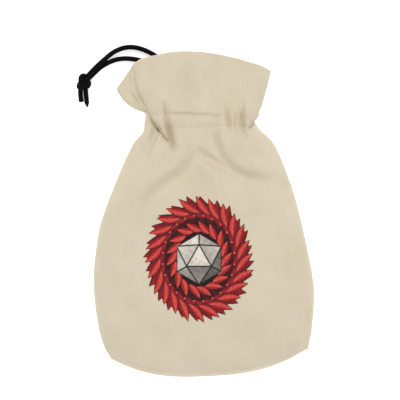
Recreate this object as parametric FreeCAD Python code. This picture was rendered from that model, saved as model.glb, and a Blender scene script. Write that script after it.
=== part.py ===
"""Drawstring dice bag of brushed cotton, lying on its back with its neck half drawn.

Millimetres. +X is across the bag, +Y runs from the bottom seam to the mouth and +Z is up, away
from the surface that it lies on. The origin is under the middle of the bag, on that surface.

Two panels are sewn along both sides and the bottom. Above the neck the cloth is turned in as a
facing, and two rows of stitches hold it down as a tunnel for the drawstring. The drawstring runs
round the neck, leaves through a bound slit in the back, passes under the header and ends in a knot.
"""
import FreeCAD, Part

import math
import os

V = FreeCAD.Vector
UP = V(0, 0, 1)

# Cloth and cord
CLOTH = 0.8                 # thickness of a panel
FACING = 0.5                # thickness of the turned-in facing
FACING_GAP = 0.4            # between the facing and its panel
FACING_DEPTH = CLOTH + FACING_GAP
CORD = 2.2                  # diameter of the drawstring
CLEAR = 0.3                 # between pieces that move apart
TUNNEL = CORD + 2 * CLEAR   # clear height of the drawstring's tunnel
TUNNEL_MID = CLOTH + TUNNEL / 2
TUNNEL_FLOOR = CLOTH + TUNNEL + 1.5 * CLEAR   # depth of the facing at the middle of the tunnel
SEAM = 1.6                  # thickness of a seam allowance, two layers of cloth
SEAM_WIDE, SEAM_NARROW = 5.0, 2.0   # its width on the belly and in the neck
SIDE_EDGE = SEAM / 2 + CLEAR        # from a side seam's height to a panel's edge
BOTTOM_EDGE = SIDE_EDGE + CLOTH     # the same at the bottom seam, where the panels lie flat
THREAD = 0.18               # radius of a stitch
STITCH, PITCH = 2.0, 3.0    # length of a stitch, and from one to the next
STITCH_INSET = 1.45         # from a seam to the stitches inside it
PROUD = 0.05                # gap between the cloth and the print or binding on it
THREAD_RISE = 0.2           # gap between the cloth and the stitches on it
INK = 0.12                  # thickness of the printed emblem

# Stations from the bottom seam to the rim. Each is a row across the bag, bowed at its middle:
# left x, left y, middle y, right x, right y, seam height, top of the front, underside of the back
STATIONS = [
    (-46.50, -71.7, -80.6, 52.60, -66.4, 3.2, 5.2, 1.2),     # bottom seam
    (-49.70, -66.2, -75.2, 53.60, -62.2, 3.8, 10.0, 0.3),    # where the bottom rolls up
    (-52.90, -55.0, -62.4, 54.90, -52.5, 4.5, 14.5, -0.1),
    (-55.25, -33.0, -39.0, 55.60, -38.0, 5.0, 18.0, -0.1),   # widest
    (-53.00, -10.0, -12.0, 50.80, -10.0, 5.0, 18.5, -0.1),
    (-44.40, 16.0, 14.0, 44.40, 14.5, 5.2, 17.8, -0.1),
    (-35.30, 35.8, 33.0, 34.80, 36.8, 6.2, 16.4, 0.2),       # shoulder
    (-29.90, 43.0, 44.0, 27.60, 44.6, 7.3, 15.6, 0.9),       # lower edge of the tunnel
    (-29.00, 50.5, 50.6, 27.80, 50.5, 7.5, 15.6, 2.8),       # upper edge of the tunnel
    (-34.40, 53.2, 56.6, 29.30, 55.0, 7.3, 15.2, 2.9),
    (-39.80, 57.2, 68.0, 31.60, 62.8, 6.8, 13.9, 2.9),       # header, over the drawstring
    (-43.60, 62.7, 80.6, 33.90, 71.9, 6.4, 12.8, 2.9),       # rim
]
BOTTOM, SHOULDER, TUNNEL_LOW, TUNNEL_TOP, HEADER, RIM = 0.0, 6.0, 7.0, 8.0, 9.0, 11.0
FACING_LOW, FACING_TOP = 6.6, 10.85     # rows where a facing begins and ends
NOTCH, NOTCH_ROW, NOTCH_REACH = 2.0, 7.34, 0.30     # the right side is pulled in over the shoulder
SQUARE = 0.7                # how much squarer than an even bow the bottom seam is
# How far the rim rises above its bow: places from -1 at the left seam to 1 at the right, and rises
RIM_RISE = [(-1.0, 0.0), (-0.93, 1.1), (-0.87, 2.6), (-0.80, 4.6), (-0.76, 5.5), (-0.68, 5.6),
            (-0.46, 3.4), (-0.24, 1.9), (-0.05, 0.4), (0.2, -1.0), (0.42, -1.8), (0.68, -1.8), (1.0, 0.0)]
RISE_FROM = 8.3             # row where that rise begins

# Drawstring: places along its route, chosen by hand, on the surface unless it climbs
LEG_Z = CORD / 2 + 0.05
OUTER_LEG = [
    V(2.6, 46.4, 4.0), V(1.1, 50.9, LEG_Z), V(-2.7, 60.0, LEG_Z), V(-7.2, 66.6, LEG_Z),
    V(-13.0, 72.4, LEG_Z), V(-20.4, 78.1, LEG_Z), V(-28.2, 83.2, LEG_Z), V(-36.4, 85.5, LEG_Z),
    V(-44.2, 83.6, LEG_Z), V(-50.4, 78.1, 2.7), V(-55.2, 73.3, 4.2), V(-58.2, 69.8, 4.7),
]
INNER_LEG = [
    V(-0.9, 46.4, 4.0), V(-2.4, 50.9, LEG_Z), V(-6.6, 59.0, LEG_Z), V(-11.6, 65.5, LEG_Z),
    V(-18.2, 71.2, LEG_Z), V(-26.2, 76.6, LEG_Z), V(-34.8, 79.2, LEG_Z), V(-43.3, 79.3, LEG_Z),
    V(-51.0, 75.8, LEG_Z), V(-55.3, 71.8, LEG_Z), V(-58.6, 68.4, 1.7),
]
KNOT = V(-60.2, 66.8, 3.55)
KNOT_LONG, KNOT_WIDE, KNOT_HIGH = 4.3, 3.6, 3.4     # half sizes
KNOT_TURN = 68.0            # of its long axis from +X, in degrees
SHORT_TAIL = [V(-61.8, 64.0, 2.8), V(-62.0, 61.8, 1.8), V(-61.8, 59.8, LEG_Z), V(-61.6, 57.7, LEG_Z)]
LONG_TAIL = [V(-59.3, 64.0, 2.8), V(-59.3, 61.8, 1.8), V(-59.1, 59.2, LEG_Z), V(-58.8, 56.7, LEG_Z)]
TIP = 1.8                   # length of the long tail's melted point

# Slit in the back that the drawstring leaves by, seen from above
SLIT = V(0.1, 48.7, 0)
SLIT_HALF_X, SLIT_HALF_Y = 4.1, 2.4
BINDING, BINDING_THICK = 1.1, 0.15  # width and thickness of the stitched edge round it

# Emblem printed on the belly: a wreath of leaves round a twenty-sided die
PRINT_MID = V(-2.2, -21.0, 0)
WREATH_X, WREATH_Y = 21.0, 25.0     # half sizes of the oval that the leaves stand on
LEAVES, LEAF_LONG, LEAF_WIDE = 20, 15.0, 5.2
LEAF_LEAN = 50.0            # of a leaf from the oval's outward direction, in degrees
DIE = 13.0                  # from the die's middle to a corner
DIE_CORE = 0.56             # the same for its middle triangle, as a share
DIE_LINE = 0.35             # half of the line between two facets

OUTDIR = "parts"


def save(name, shape):
    """Write one sub-part, and print its size and whether it is sound."""
    shape.exportStep(os.path.join(OUTDIR, name + ".step"))
    box = shape.optimalBoundingBox(False)
    print(f"{name:24s} solids {len(shape.Solids):3d} valid {shape.isValid()} "
          f"volume {shape.Volume:9.2f} x {box.XMin:6.2f} {box.XMax:6.2f} "
          f"y {box.YMin:6.2f} {box.YMax:6.2f} z {box.ZMin:5.2f} {box.ZMax:5.2f}")


def spread(low, high, count):
    """That many figures, evenly from low to high."""
    return [low + (high - low) * i / (count - 1) for i in range(count)]


def smooth(low, high, at):
    """0 up to low and 1 from high on, with no corner between."""
    t = min(max((at - low) / (high - low), 0.0), 1.0)
    return t * t * (3 - 2 * t)


# The bag's own surface

def slope(column, i):
    """The slope of a column of the table at station i, which never overshoots its neighbours."""
    if i == 0 or i == len(column) - 1:
        return column[min(i + 1, len(column) - 1)] - column[max(i - 1, 0)]
    before, after = column[i] - column[i - 1], column[i + 1] - column[i]
    return 0.0 if before * after <= 0 else 2 * before * after / (before + after)


def station(v):
    """The eight figures of row v, which may lie between two stations."""
    i = min(int(v), len(STATIONS) - 2)
    t = v - i
    row = [column[i] * (1 + 2 * t) * (1 - t) ** 2 + slope(column, i) * t * (1 - t) ** 2
           + column[i + 1] * t * t * (3 - 2 * t) - slope(column, i + 1) * t * t * (1 - t)
           for column in zip(*STATIONS)]
    row[3] -= NOTCH * math.exp(-((v - NOTCH_ROW) / NOTCH_REACH) ** 2)
    return row


def rim_rise(u):
    """The rise of the rim at a place across it."""
    for (low, start), (high, end) in zip(RIM_RISE, RIM_RISE[1:]):
        if u <= high:
            return start + (end - start) * (u - low) / (high - low)
    return 0.0


def place(u, v, height):
    """The point at u, from -1 at the left seam to 1 at the right, of row v, at a height."""
    left_x, left_y, mid_y, right_x, right_y = station(v)[:5]
    bow = abs(u) ** (2 + SQUARE * (1 - smooth(0, 3, v))) * ((left_y + right_y) / 2 - mid_y)
    return V((left_x + right_x) / 2 + u * (right_x - left_x) / 2,
             mid_y + u * (right_y - left_y) / 2 + bow + rim_rise(u) * smooth(RISE_FROM, RIM, v), height)


def outside(front, angle, v):
    """A point on a panel's outer face. angle runs from -90 at the left seam to 90 at the right."""
    seam, top, base = station(v)[5:]
    edge = SIDE_EDGE + (BOTTOM_EDGE - SIDE_EDGE) * (1 - smooth(0.0, 1.0, v))
    start, crest = (seam + edge, top) if front else (seam - edge, base)
    crown = math.sin(math.pi / 2 * math.cos(math.radians(angle)))
    return place(math.sin(math.radians(angle)), v, start + (crest - start) * crown)


def under(front, angle, v, depth):
    """The point that far under a panel's outer face, square to it in its own row."""
    across = outside(front, angle + 1, v) - outside(front, angle - 1, v)
    inward = V(across.z, 0, -across.x).normalize() * (1 if front else -1)
    return outside(front, angle, v) + inward * depth


def layer_rows(front, rows, depth, widest, columns=13):
    """Rows of points under a panel. depth and widest are figures, or functions of the row."""
    deep = depth if callable(depth) else lambda v: depth
    wide = widest if callable(widest) else lambda v: widest
    return [[under(front, angle, v, deep(v)) for angle in spread(-wide(v), wide(v), columns)]
            for v in rows]


# Building blocks

def face_through(rows):
    """One smooth face through rows of points."""
    made = Part.BSplineSurface()
    made.interpolate(rows)
    return made.toShape()


def edge_through(face, points):
    """The border edge of a face that runs through a row of points."""
    marks = [Part.Vertex(points[i]) for i in (0, len(points) // 2, -1)]
    return min(face.Edges, key=lambda edge: max(edge.distToShape(mark)[0] for mark in marks))


def solid_between(rows_a, rows_b):
    """The solid between two faces that are given as rows of points."""
    faces = [face_through(rows_a), face_through(rows_b)]
    for side in (lambda rows: rows[0], lambda rows: rows[-1],
                 lambda rows: [row[0] for row in rows], lambda rows: [row[-1] for row in rows]):
        faces.append(Part.makeRuledSurface(edge_through(faces[0], side(rows_a)),
                                           edge_through(faces[1], side(rows_b))))
    shell = Part.makeShell(faces)
    shell.sewShape()
    solid = Part.makeSolid(Part.Shell(shell.Faces))
    return solid if solid.Volume > 0 else solid.reversed()


def route(points):
    """A wire along a cord: straight runs, with an arc across each turn."""
    edges, last = [], points[0]
    for before, corner, after in zip(points, points[1:], points[2:]):
        reach = 0.45 * min((corner - before).Length, (after - corner).Length)
        start = corner + (before - corner).normalize() * reach
        end = corner + (after - corner).normalize() * reach
        half = (corner - before).getAngle(after - corner) / 2
        radius = reach / math.tan(half)
        centre = corner + ((start + end) / 2 - corner).normalize() * (radius / math.cos(half))
        middle = centre + (corner - centre).normalize() * radius
        edges += [Part.LineSegment(last, start).toShape(), Part.Arc(start, middle, end).toShape()]
        last = end
    edges.append(Part.LineSegment(last, points[-1]).toShape())
    return Part.Wire(edges)


def tube(points, radius=CORD / 2):
    """A cord along its places."""
    wire = route(points)
    heading = (points[1] - points[0]).normalize()
    section = Part.Wire([Part.makeCircle(radius, points[0], heading)])
    made = wire.makePipeShell([section], True, False)
    bends = [edge.Curve.Radius for edge in wire.Edges if hasattr(edge.Curve, "Radius")]
    print(f"  cord of {wire.Length:.1f} mm, tightest bend {min(bends):.1f} mm, "
          f"volume {made.Volume / (math.pi * radius ** 2 * wire.Length):.3f} of section times length")
    return made


def stitches(points, stitch=STITCH, pitch=PITCH):
    """A row of straight stitches along a smooth line through points."""
    line = Part.BSplineCurve()
    line.interpolate(points)
    edge = line.toShape()
    count = int((edge.Length - stitch) / pitch) + 1
    start = (edge.Length - (count - 1) * pitch - stitch) / 2
    made = []
    for i in range(count):
        a, b = (edge.valueAt(edge.getParameterByLength(start + i * pitch + part))
                for part in (0.0, stitch))
        made.append(Part.makeCylinder(THREAD, (b - a).Length, a, b - a))
    return made


def outline(points, low, high):
    """An upright prism over a closed outline."""
    flat = [V(p.x, p.y, low) for p in points]
    return Part.Face(Part.makePolygon(flat + flat[:1])).extrude(V(0, 0, high - low))


def oval(middle, half_x, half_y, low, high, corners=48):
    """An upright prism over an oval with straight sides along X."""
    straight = half_x - half_y
    turns = [2 * math.pi * i / corners for i in range(corners)]
    return outline([V(middle.x + math.copysign(straight, math.cos(t)) + half_y * math.cos(t),
                      middle.y + half_y * math.sin(t), 0) for t in turns], low, high)


# The bag's pieces

PANEL_ROWS = spread(BOTTOM, RIM, 34)
FACING_ROWS = spread(FACING_LOW, FACING_TOP, 35)


def panel(front):
    """A cloth panel from the bottom seam to the rim. The back one lies flat and has the slit."""
    made = solid_between(layer_rows(front, PANEL_ROWS, 0.0, 90),
                         layer_rows(front, PANEL_ROWS, CLOTH, 90))
    if front:
        return made
    floor = Part.makeBox(200, 200, 5, V(-100, -100, -5))
    return made.cut(floor).cut(oval(SLIT, SLIT_HALF_X, SLIT_HALF_Y, -1, 8))


def tunnel_depth(v):
    """How deep a facing lies under its panel's outer face. It stands off to form the tunnel."""
    bulge = math.sin(math.pi * min(max(v - TUNNEL_LOW, 0.0), 1.0)) ** 1.5
    return FACING_DEPTH + (TUNNEL_FLOOR - FACING_DEPTH) * bulge


def facing_angle(v):
    """How far round a facing goes. It stops short of the drawstring's turns in the neck."""
    return 42 + 20 * smooth(TUNNEL_TOP, HEADER, v)


def facing(front):
    """The turned-in cloth that lines the header and forms the tunnel."""
    return solid_between(layer_rows(front, FACING_ROWS, tunnel_depth, facing_angle, 9),
                         layer_rows(front, FACING_ROWS, lambda v: tunnel_depth(v) + FACING,
                                    facing_angle, 9))


def seam_point(side, v, inset, rise):
    """A point that far in from a side seam, and above it."""
    left_x, right_x, seam = station(v)[0], station(v)[3], station(v)[5]
    return place(side * (1 - 2 * inset / (right_x - left_x)), v, seam + rise)


def side_allowance(side):
    """The strip of both panels inside a side seam."""
    def rows(rise):
        return [[seam_point(side, v, inset, rise) for inset in spread(
            0.15, SEAM_WIDE + (SEAM_NARROW - SEAM_WIDE) * smooth(SHOULDER - 1, TUNNEL_LOW - 0.2, v), 3)]
                for v in spread(0.35, RIM - 0.1, 32)]
    return solid_between(rows(-SEAM / 2), rows(SEAM / 2))


def side_stitching(side):
    """The stitches that join the panels, on the upper face of a side seam's allowance."""
    return stitches([seam_point(side, v, STITCH_INSET, SEAM / 2 + THREAD + THREAD_RISE)
                     for v in spread(0.45, RIM - 0.2, 40)])


def bottom_point(u, inset, rise):
    """A point that far in from the bottom seam, and above it."""
    foot = place(u, BOTTOM, station(BOTTOM)[5] + rise)
    return foot + V(0, inset, 0)


def bottom_allowance():
    """The strip of both panels inside the bottom seam."""
    def rows(rise):
        return [[bottom_point(u, inset, rise) for u in spread(-0.86, 0.86, 9)]
                for inset in spread(0.15, SEAM_WIDE, 3)]
    return solid_between(rows(-SEAM / 2), rows(SEAM / 2))


def bottom_stitching():
    """The stitches of the bottom seam, on the upper face of its allowance."""
    return stitches([bottom_point(u, STITCH_INSET, SEAM / 2 + THREAD + THREAD_RISE)
                     for u in spread(-0.85, 0.85, 15)])


def tunnel_stitching(front, v):
    """A row of stitches along one edge of the tunnel, on the outer face of a panel."""
    made = stitches([under(front, angle, v, -THREAD - THREAD_RISE) for angle in spread(-80, 80, 33)])
    if front or v == TUNNEL_LOW:
        return made
    room = SLIT_HALF_X + BINDING + CLEAR
    return [one for one in made if one.BoundBox.XMax < SLIT.x - room or one.BoundBox.XMin > SLIT.x + room]


def slit_binding():
    """The close stitches round the slit, on the outer face of the back."""
    rows = spread(TUNNEL_LOW - 0.3, TUNNEL_TOP + 0.6, 9)
    skin = solid_between(layer_rows(False, rows, -PROUD, 25),
                         layer_rows(False, rows, -PROUD - BINDING_THICK, 25))
    ring = oval(SLIT, SLIT_HALF_X + BINDING, SLIT_HALF_Y + BINDING, -1, 8).cut(
        oval(SLIT, SLIT_HALF_X + PROUD, SLIT_HALF_Y + PROUD, -1, 8))
    return skin.common(ring)


def emblem():
    """The print on the belly, as thin patches over the front panel."""
    rows = spread(0.9, 5.6, 15)
    skin = solid_between(layer_rows(True, rows, -PROUD, 62, 15),
                         layer_rows(True, rows, -PROUD - INK, 62, 15))
    patches = []
    for i in range(LEAVES):
        turn = 2 * math.pi * i / LEAVES
        root = PRINT_MID + V(WREATH_X * math.cos(turn), WREATH_Y * math.sin(turn), 0)
        heading = turn + math.radians(LEAF_LEAN)
        along = V(math.cos(heading), math.sin(heading), 0)
        across = V(-math.sin(heading), math.cos(heading), 0) * (LEAF_WIDE / 2)
        leaf = [root + along * (LEAF_LONG * (t - 0.5)) + across * (side * math.sin(math.pi * t ** 0.8))
                for side, shares in ((1, (0.0, 0.15, 0.35, 0.55, 0.75, 0.9)),
                                     (-1, (1.0, 0.9, 0.75, 0.55, 0.35, 0.15)))
                for t in shares]
        patches.append(outline(leaf, 0, 30))
    spokes = [V(math.sin(math.radians(60 * i)), math.cos(math.radians(60 * i)), 0) * DIE for i in range(6)]
    corner = [PRINT_MID + spoke for spoke in spokes]
    core = [PRINT_MID + spoke * DIE_CORE for spoke in spokes[::2]]
    facets = [core]
    for i in range(3):
        here, following = core[i], core[(i + 1) % 3]
        top, far, nxt = corner[2 * i], corner[2 * i + 1], corner[(2 * i + 2) % 6]
        facets += [[here, following, far], [here, top, far], [following, far, nxt]]
    for facet in facets:
        middle = (facet[0] + facet[1] + facet[2]) * (1 / 3)
        inner = min((middle - a).cross(b - a).Length / (b - a).Length
                    for a, b in zip(facet, facet[1:] + facet[:1]))
        share = 1 - DIE_LINE / inner
        patches.append(outline([middle + (p - middle) * share for p in facet], 0, 30))
    return skin.common(Part.makeCompound(patches))


# The drawstring's pieces

def tunnel_cord():
    """The part of the drawstring that runs in the tunnel, from one side of the slit to the other."""
    v = (TUNNEL_LOW + TUNNEL_TOP) / 2
    back = under(False, 0, v, TUNNEL_MID + CLEAR / 2)
    front = under(True, 0, v, TUNNEL_MID + CLEAR / 2)
    middle, y = (back.z + front.z) / 2, back.y
    return tube([
        V(-4.6, y, back.z), V(-14, y, back.z), V(-21.6, y, back.z + 0.4), V(-25.2, y, middle - 2),
        V(-25.2, y, middle + 2), V(-21.6, y, front.z - 0.6), V(-14, y, front.z), V(-4, y, front.z),
        V(7, y, front.z - 0.05), V(13, y, front.z), V(18.4, y, front.z - 0.6), V(21.9, y, middle + 2),
        V(21.9, y, middle - 2), V(18.4, y, back.z + 0.4), V(12, y, back.z), V(5.3, y, back.z)])


def knot_lump(grow=0.0):
    """The knot's rounded body, or one that much larger all round."""
    sizes = V(KNOT_LONG + grow, KNOT_WIDE + grow, KNOT_HIGH + grow)
    ball = Part.makeSphere(1.0)
    made = ball.transformGeometry(FreeCAD.Matrix(sizes.x, 0, 0, 0, 0, sizes.y, 0, 0, 0, 0, sizes.z, 0,
                                                 0, 0, 0, 1))
    made.rotate(V(), UP, KNOT_TURN)
    made.translate(KNOT)
    return made


def leg(points):
    """One of the two legs from the slit to the knot."""
    return tube(points).cut(knot_lump(0.1))


def tail(points, pointed):
    """A loose end beyond the knot, cut square or melted to a point."""
    made = tube(points)
    if pointed:
        heading = (points[-1] - points[-2]).normalize()
        made = made.fuse(Part.makeCone(CORD / 2, 0.25, TIP, points[-1], heading))
    return made.cut(knot_lump(0.1))


if __name__ == "__main__":
    os.makedirs(OUTDIR, exist_ok=True)
    for name, front in (("front", True), ("back", False)):
        save(name + "_panel", panel(front))
        save(name + "_facing", facing(front))
        save(name + "_tunnel_stitching_lower", Part.makeCompound(tunnel_stitching(front, TUNNEL_LOW)))
        save(name + "_tunnel_stitching_upper", Part.makeCompound(tunnel_stitching(front, TUNNEL_TOP)))
    for name, side in (("left", -1), ("right", 1)):
        save(name + "_seam_allowance", side_allowance(side))
        save(name + "_seam_stitching", Part.makeCompound(side_stitching(side)))
    save("bottom_seam_allowance", bottom_allowance())
    save("bottom_seam_stitching", Part.makeCompound(bottom_stitching()))
    save("slit_binding", slit_binding())
    save("printed_emblem", emblem())
    save("tunnel_cord", tunnel_cord())
    save("outer_leg", leg(OUTER_LEG))
    save("inner_leg", leg(INNER_LEG))
    save("stopper_knot", knot_lump())
    save("short_tail", tail(SHORT_TAIL, False))
    save("long_tail", tail(LONG_TAIL, True))
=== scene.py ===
import math

import bpy
import numpy as np
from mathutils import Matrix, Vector
from mathutils.bvhtree import BVHTree


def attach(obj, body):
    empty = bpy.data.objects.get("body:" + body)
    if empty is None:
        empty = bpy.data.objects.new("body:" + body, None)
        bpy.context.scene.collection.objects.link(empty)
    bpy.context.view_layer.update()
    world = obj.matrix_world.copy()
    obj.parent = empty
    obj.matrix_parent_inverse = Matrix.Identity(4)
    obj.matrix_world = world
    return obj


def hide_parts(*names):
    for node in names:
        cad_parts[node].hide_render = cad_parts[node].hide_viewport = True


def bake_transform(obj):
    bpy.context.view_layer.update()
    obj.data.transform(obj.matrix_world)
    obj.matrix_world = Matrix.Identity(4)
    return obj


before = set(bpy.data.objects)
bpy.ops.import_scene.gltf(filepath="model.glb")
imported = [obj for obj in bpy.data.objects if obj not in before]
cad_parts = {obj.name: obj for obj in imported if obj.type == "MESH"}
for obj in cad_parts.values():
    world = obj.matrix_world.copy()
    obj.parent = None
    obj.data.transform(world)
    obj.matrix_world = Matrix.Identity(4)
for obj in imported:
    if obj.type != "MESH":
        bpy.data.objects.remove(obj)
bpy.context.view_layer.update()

MM = 0.001
rng = np.random.default_rng(7)

# ---------------------------------------------------------------- camera, light and floor

scene = bpy.context.scene
scene.view_settings.view_transform = "Standard"
scene.view_settings.look = "None"

VIEW_WIDTH = 0.200          # seen across, at the height of the side seams
SEEN_AT = 0.006
LENS, SENSOR = 100.0, 36.0
cam_data = bpy.data.cameras.new("camera")
cam_data.lens, cam_data.sensor_width = LENS, SENSOR
camera = bpy.data.objects.new("camera", cam_data)
scene.collection.objects.link(camera)
camera.location = (-0.00175, 0.0079, SEEN_AT + VIEW_WIDTH * LENS / SENSOR)
scene.camera = camera


def sun(name, strength, spread, toward):
    """Even light from far off. toward points from the object to the light."""
    data = bpy.data.lights.new(name, "SUN")
    data.energy, data.angle = strength, math.radians(spread)
    lamp = bpy.data.objects.new(name, data)
    scene.collection.objects.link(lamp)
    lamp.rotation_euler = Vector(toward).to_track_quat("Z", "Y").to_euler()


sun("key", 1.76, 12, (-0.07, 0.90, 0.98))
sun("low fill", 1.12, 60, (0.16, -0.95, 0.80))

world = bpy.data.worlds.new("studio")
scene.world = world
world.use_nodes = True
world.node_tree.nodes["Background"].inputs["Color"].default_value = (1.0, 1.0, 1.0, 1.0)
world.node_tree.nodes["Background"].inputs["Strength"].default_value = 0.40


# ---------------------------------------------------------------- materials

class Shader:
    """A node material that is built call by call."""

    def __init__(self, name):
        self.material = bpy.data.materials.new(name)
        self.material.use_nodes = True
        self.tree = self.material.node_tree
        self.bsdf = self.tree.nodes["Principled BSDF"]

    def node(self, kind, settings=None, **inputs):
        made = self.tree.nodes.new(kind)
        for key, value in (settings or {}).items():
            setattr(made, key, value)
        for key, value in inputs.items():
            self.put(made.inputs[key.replace("_", " ")], value)
        return made

    def put(self, socket, value):
        if isinstance(value, bpy.types.NodeSocket):
            self.tree.links.new(value, socket)
        else:
            socket.default_value = value

    def math(self, operation, a, b=0.0):
        made = self.tree.nodes.new("ShaderNodeMath")
        made.operation = operation
        self.put(made.inputs[0], a)
        self.put(made.inputs[1], b)
        return made.outputs[0]

    def mix(self, share, a, b, blend="MIX"):
        made = self.tree.nodes.new("ShaderNodeMix")
        made.data_type, made.blend_type = "RGBA", blend
        self.put(made.inputs[0], share)
        self.put(made.inputs[6], a)
        self.put(made.inputs[7], b)
        return made.outputs[2]

    def ramp(self, value, *stops):
        made = self.tree.nodes.new("ShaderNodeValToRGB")
        self.put(made.inputs[0], value)
        cells = made.color_ramp.elements
        while len(cells) < len(stops):
            cells.new(0.5)
        for cell, (at, colour) in zip(cells, stops):
            cell.position, cell.color = at, colour
        return made.outputs[0]

    def noise(self, vector, scale, detail=2.0, rough=0.5):
        return self.node("ShaderNodeTexNoise", Vector=vector, Scale=scale, Detail=detail,
                         Roughness=rough).outputs[0]

    def worn(self, colour, other, pattern, low, high, share):
        """The colour, partly another where the pattern is high."""
        lit = self.ramp(pattern, (low, grey(0)), (high, grey(1)))
        return self.mix(self.math("MULTIPLY", lit, share), colour, other)

    def bump(self, height, strength, distance, normal=None):
        made = self.node("ShaderNodeBump", Height=height, Strength=strength, Distance=distance)
        if normal is not None:
            self.put(made.inputs["Normal"], normal)
        return made.outputs[0]

    def surface(self, **inputs):
        for key, value in inputs.items():
            self.put(self.bsdf.inputs[key.replace("_", " ")], value)
        return self.material


def grey(v):
    return (v, v, v, 1.0)


def srgb(r, g, b):
    """A colour given as 0 to 255, as the shader wants it."""
    return tuple(c / 12.92 if c <= 0.04045 else ((c + 0.055) / 1.055) ** 2.4
                 for c in (x / 255 for x in (r, g, b))) + (1.0,)


def weave(s, threads=2300.0):
    """(height of a plain weave, cloth coordinates). One thread is under half a millimetre."""
    at = s.node("ShaderNodeAttribute", {"attribute_name": "cloth"}).outputs["Vector"]
    drift = s.node("ShaderNodeVectorMath", {"operation": "SCALE"})
    wob = s.node("ShaderNodeTexNoise", Vector=at, Scale=260.0, Detail=2.0)
    s.put(drift.inputs[0], wob.outputs["Color"])
    s.put(drift.inputs["Scale"], 0.0005)
    moved = s.node("ShaderNodeVectorMath", {"operation": "ADD"})
    s.put(moved.inputs[0], at)
    s.put(moved.inputs[1], drift.outputs[0])
    split = s.node("ShaderNodeSeparateXYZ", Vector=moved.outputs[0])
    sx = s.math("SINE", s.math("MULTIPLY", split.outputs[0], threads * 2 * math.pi))
    sy = s.math("SINE", s.math("MULTIPLY", split.outputs[1], threads * 2 * math.pi))
    return s.math("MULTIPLY", sx, sy), at


def cotton_material(name, shade=1.0):
    s = Shader(name)
    height, at = weave(s)
    nap = s.noise(at, 1500.0, 3.0, 0.7)
    clouds = s.noise(at, 55.0, 3.0, 0.6)
    along_thread = s.node("ShaderNodeMapping", Vector=at, Scale=(1.0, 0.06, 1.0)).outputs[0]
    slub = s.noise(along_thread, 900.0, 2.0)
    # a shade under 1 darkens the whole cloth: painted shade
    base = [srgb(*(c * shade for c in rgb)) for rgb in
            ((209, 196, 170), (213, 201, 177), (217, 205, 182))]
    colour = s.ramp(clouds, (0.30, base[0]), (0.5, base[1]), (0.72, base[2]))
    colour = s.worn(colour, srgb(232, 223, 204), nap, 0.35, 0.75, 0.16)
    colour = s.worn(colour, srgb(190, 176, 148), slub, 0.55, 0.8, 0.14)
    normal = s.bump(height, 0.22, 0.00012)
    normal = s.bump(nap, 0.35, 0.00025, normal)
    normal = s.bump(slub, 0.15, 0.0002, normal)
    return s.surface(Base_Color=colour, Roughness=0.94, Normal=normal, Sheen_Weight=0.35,
                     Sheen_Roughness=0.45, Sheen_Tint=srgb(244, 236, 220), Specular_IOR_Level=0.15)


def thread_material():
    s = Shader("thread")
    at = s.node("ShaderNodeTexCoord").outputs["Object"]
    twist = s.noise(at, 5200.0, 2.0)
    colour = s.ramp(twist, (0.3, srgb(196, 182, 152)), (0.7, srgb(224, 213, 190)))
    return s.surface(Base_Color=colour, Roughness=0.7, Normal=s.bump(twist, 0.5, 0.0001),
                     Sheen_Weight=0.2)


def print_material():
    """Ink on cloth. Its colours are on the mesh; the weave shows through, a little worn."""
    s = Shader("print")
    height, at = weave(s)
    ink = s.node("ShaderNodeAttribute", {"attribute_name": "ink"}).outputs["Color"]
    fleck = s.noise(at, 2600.0, 3.0, 0.7)
    tone = s.noise(at, 420.0, 3.0, 0.6)
    colour = s.worn(ink, s.mix(1.0, ink, srgb(150, 120, 115), "MULTIPLY"), tone, 0.35, 0.75, 0.30)
    colour = s.worn(colour, srgb(205, 190, 165), fleck, 0.60, 0.78, 0.22)
    normal = s.bump(height, 0.18, 0.0001)
    normal = s.bump(fleck, 0.25, 0.00015, normal)
    return s.surface(Base_Color=colour, Roughness=0.82, Normal=normal, Sheen_Weight=0.12,
                     Specular_IOR_Level=0.2)


def cord_material():
    s = Shader("cord")
    at = s.node("ShaderNodeTexCoord").outputs["Object"]
    fibre = s.noise(at, 6000.0, 3.0, 0.7)
    colour = s.ramp(fibre, (0.3, srgb(9, 8, 10)), (0.62, srgb(16, 15, 17)),
                    (0.85, srgb(30, 28, 30)))
    return s.surface(Base_Color=colour, Roughness=0.85, Normal=s.bump(fibre, 0.5, 0.00012),
                     Specular_IOR_Level=0.08)


def floor_material():
    s = Shader("floor")
    at = s.node("ShaderNodeTexCoord").outputs["Object"]
    grain = s.noise(at, 30.0, 2.0)
    colour = s.ramp(grain, (0.3, grey(0.93)), (0.7, grey(0.96)))
    return s.surface(Base_Color=colour, Roughness=0.9, Emission_Color=grey(1.0),
                     Emission_Strength=0.60, Specular_IOR_Level=0.0)


# the second copy is the same cotton painted 2.5 % darker as shade, for the facings and seam
# allowances that lie inside the bag
COTTON, SHADED_COTTON = cotton_material("cotton"), cotton_material("cotton_painted_shade", 0.975)
THREAD, INK, CORD, FLOOR = thread_material(), print_material(), cord_material(), floor_material()


# ---------------------------------------------------------------- mesh helpers

def new_object(name, points, faces, material, cloth=None, normals=None):
    """A mesh object from points in millimetres."""
    mesh = bpy.data.meshes.new(name)
    mesh.from_pydata((np.asarray(points) * MM).tolist(), [], [tuple(f) for f in faces])
    mesh.validate()
    if cloth is not None:
        layer = mesh.attributes.new("cloth", "FLOAT_VECTOR", "POINT")
        layer.data.foreach_set("vector", (np.asarray(cloth) * MM).astype(np.float32).ravel())
    mesh.polygons.foreach_set("use_smooth", np.ones(len(mesh.polygons), bool))
    if normals is not None:
        mesh.normals_split_custom_set_from_vertices(np.asarray(normals).tolist())
    mesh.materials.append(material)
    made = bpy.data.objects.new(name, mesh)
    scene.collection.objects.link(made)
    return made


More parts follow.
